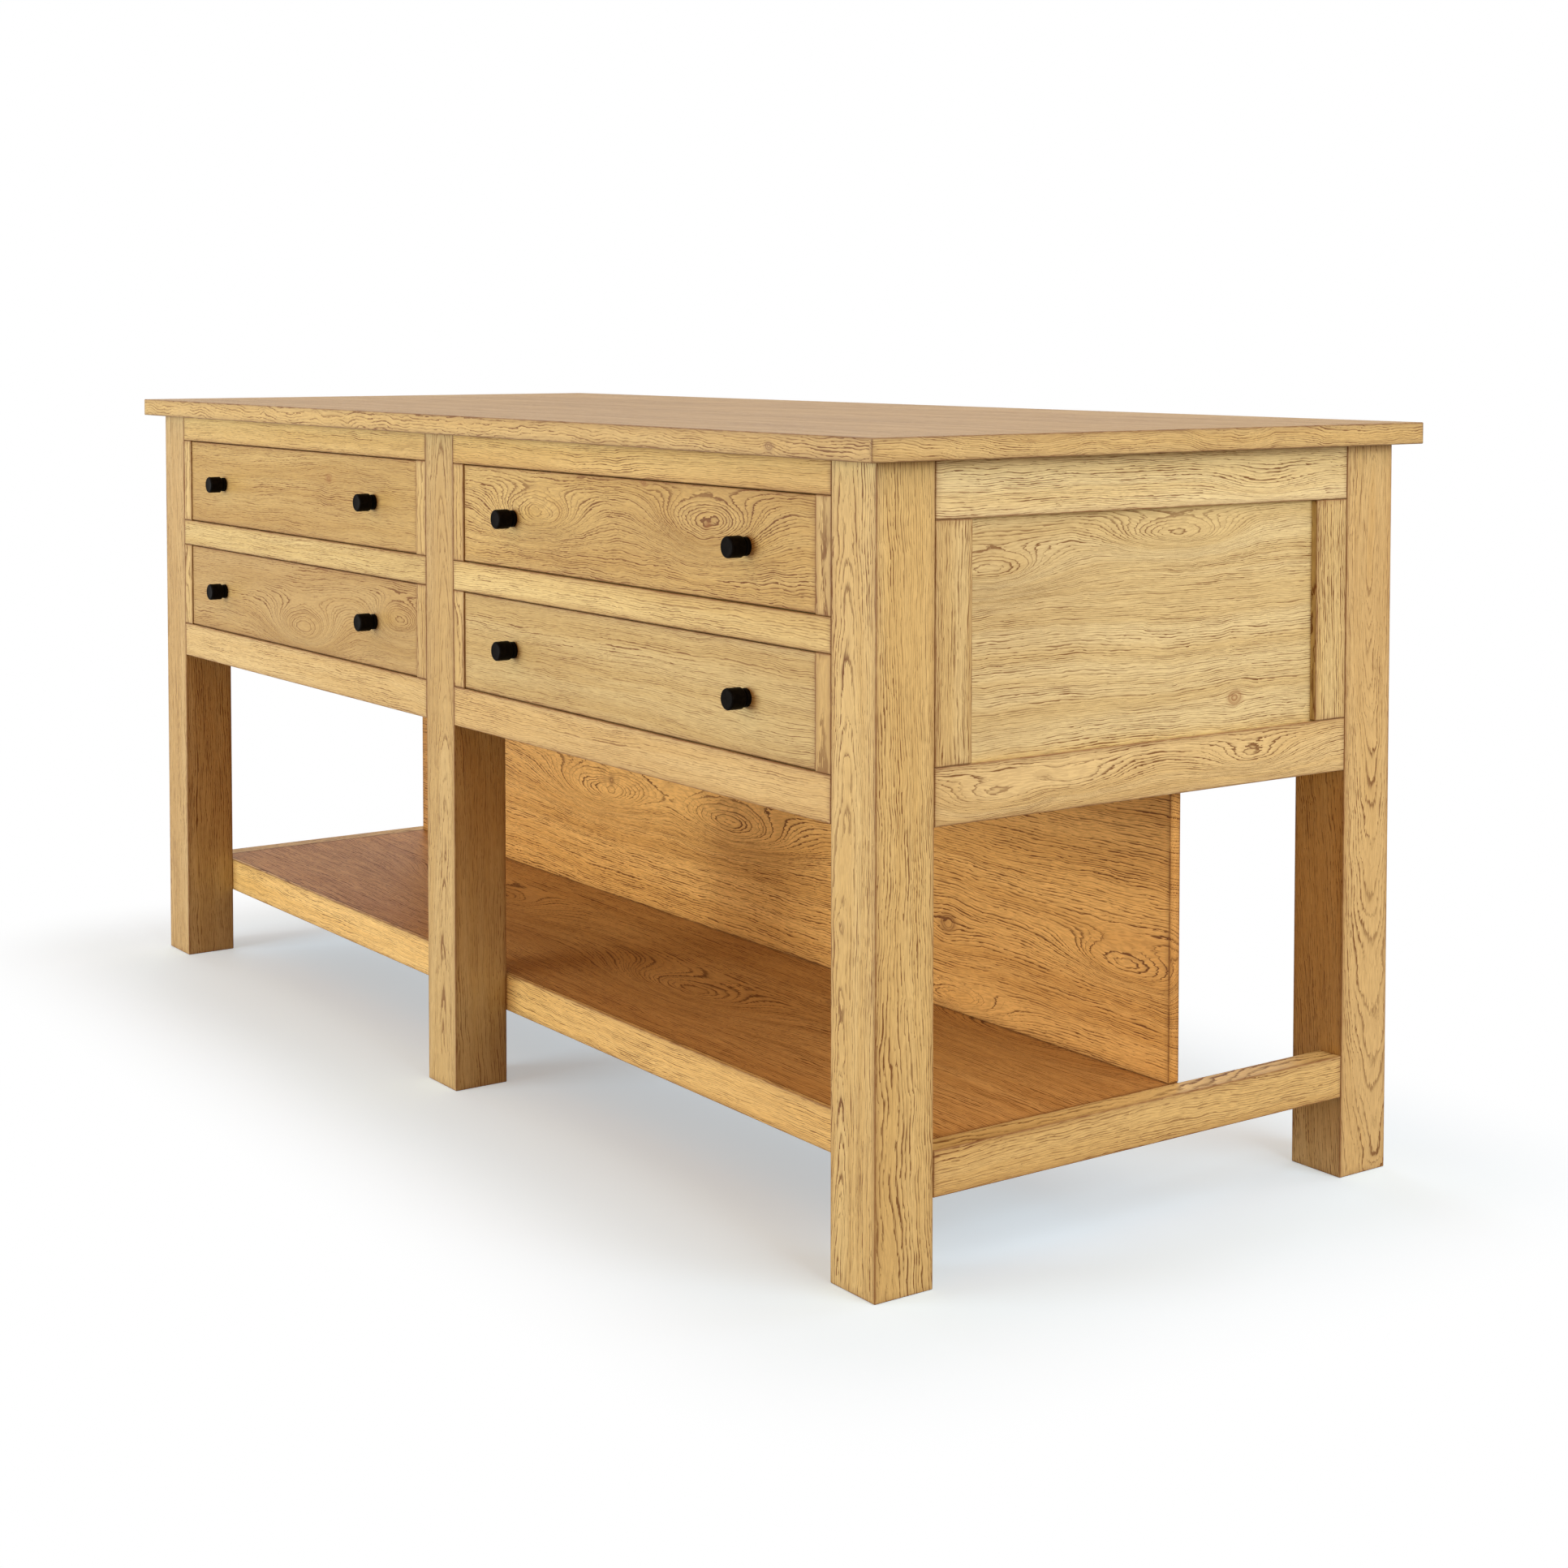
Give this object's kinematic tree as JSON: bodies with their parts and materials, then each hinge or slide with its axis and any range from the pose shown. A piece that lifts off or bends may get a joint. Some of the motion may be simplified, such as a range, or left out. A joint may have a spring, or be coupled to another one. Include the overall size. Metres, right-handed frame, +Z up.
{
  "type": "kitchen island",
  "caption": "Oak kitchen island with a thin worktop, square legs, inset drawers with black knobs, framed ends, a low shelf and an open knee space behind.",
  "frame": {"origin": "on the floor, under the middle of the worktop", "axes": "+X along the length, to the right when facing the drawers, +Y from the drawers to the back, +Z up"},
  "size_m": [1.982, 0.84, 0.9144],
  "materials": {
    "worktop_oak": "satin lacquer",
    "leg_oak": "satin lacquer",
    "rail_oak": "satin lacquer",
    "panel_oak": "satin lacquer",
    "drawer_front_oak": "satin lacquer",
    "drawer_box_oak": "thin matt lacquer",
    "black_knob": "satin black"
  },
  "bodies": {
    "frame": {"back_panel": "panel_oak", "front_left_leg": "leg_oak", "front_middle_leg": "leg_oak", "front_right_leg": "leg_oak", "left_bay_bottom_rail": "rail_oak", "left_bay_left_runner_board": "drawer_box_oak", "left_bay_lower_left_stile": "rail_oak", "left_bay_lower_right_stile": "rail_oak", "left_bay_middle_rail": "rail_oak", "left_bay_right_runner_board": "drawer_box_oak", "left_bay_top_rail": "rail_oak", "left_bay_upper_left_stile": "rail_oak", "left_bay_upper_right_stile": "rail_oak", "left_end_bottom_rail": "rail_oak", "left_end_front_stile": "rail_oak", "left_end_panel": "panel_oak", "left_end_rear_stile": "rail_oak", "left_end_stretcher": "rail_oak", "left_end_top_rail": "rail_oak", "rear_left_leg": "leg_oak", "rear_right_leg": "leg_oak", "rear_top_rail": "rail_oak", "right_bay_bottom_rail": "rail_oak", "right_bay_left_runner_board": "drawer_box_oak", "right_bay_lower_left_stile": "rail_oak", "right_bay_lower_right_stile": "rail_oak", "right_bay_middle_rail": "rail_oak", "right_bay_right_runner_board": "drawer_box_oak", "right_bay_top_rail": "rail_oak", "right_bay_upper_left_stile": "rail_oak", "right_bay_upper_right_stile": "rail_oak", "right_end_bottom_rail": "rail_oak", "right_end_front_stile": "rail_oak", "right_end_panel": "panel_oak", "right_end_rear_stile": "rail_oak", "right_end_stretcher": "rail_oak", "right_end_top_rail": "rail_oak", "shelf": "panel_oak", "shelf_front_rail": "rail_oak", "worktop": "worktop_oak"},
    "left_upper_drawer": {"left_upper_drawer_bottom": "drawer_box_oak", "left_upper_drawer_box": "drawer_box_oak", "left_upper_drawer_front": "drawer_front_oak", "left_upper_drawer_left_knob": "black_knob", "left_upper_drawer_right_knob": "black_knob"},
    "left_lower_drawer": {"left_lower_drawer_bottom": "drawer_box_oak", "left_lower_drawer_box": "drawer_box_oak", "left_lower_drawer_front": "drawer_front_oak", "left_lower_drawer_left_knob": "black_knob", "left_lower_drawer_right_knob": "black_knob"},
    "right_upper_drawer": {"right_upper_drawer_bottom": "drawer_box_oak", "right_upper_drawer_box": "drawer_box_oak", "right_upper_drawer_front": "drawer_front_oak", "right_upper_drawer_left_knob": "black_knob", "right_upper_drawer_right_knob": "black_knob"},
    "right_lower_drawer": {"right_lower_drawer_bottom": "drawer_box_oak", "right_lower_drawer_box": "drawer_box_oak", "right_lower_drawer_front": "drawer_front_oak", "right_lower_drawer_left_knob": "black_knob", "right_lower_drawer_right_knob": "black_knob"}
  },
  "joints": [
    {"name": "left_upper_drawer_slide", "type": "slide", "parent": "frame", "child": "left_upper_drawer", "axis": [0, -1, 0], "range_m": [0, 0.3]},
    {"name": "left_lower_drawer_slide", "type": "slide", "parent": "frame", "child": "left_lower_drawer", "axis": [0, -1, 0], "range_m": [0, 0.3]},
    {"name": "right_upper_drawer_slide", "type": "slide", "parent": "frame", "child": "right_upper_drawer", "axis": [0, -1, 0], "range_m": [0, 0.3]},
    {"name": "right_lower_drawer_slide", "type": "slide", "parent": "frame", "child": "right_lower_drawer", "axis": [0, -1, 0], "range_m": [0, 0.3]}
  ]
}
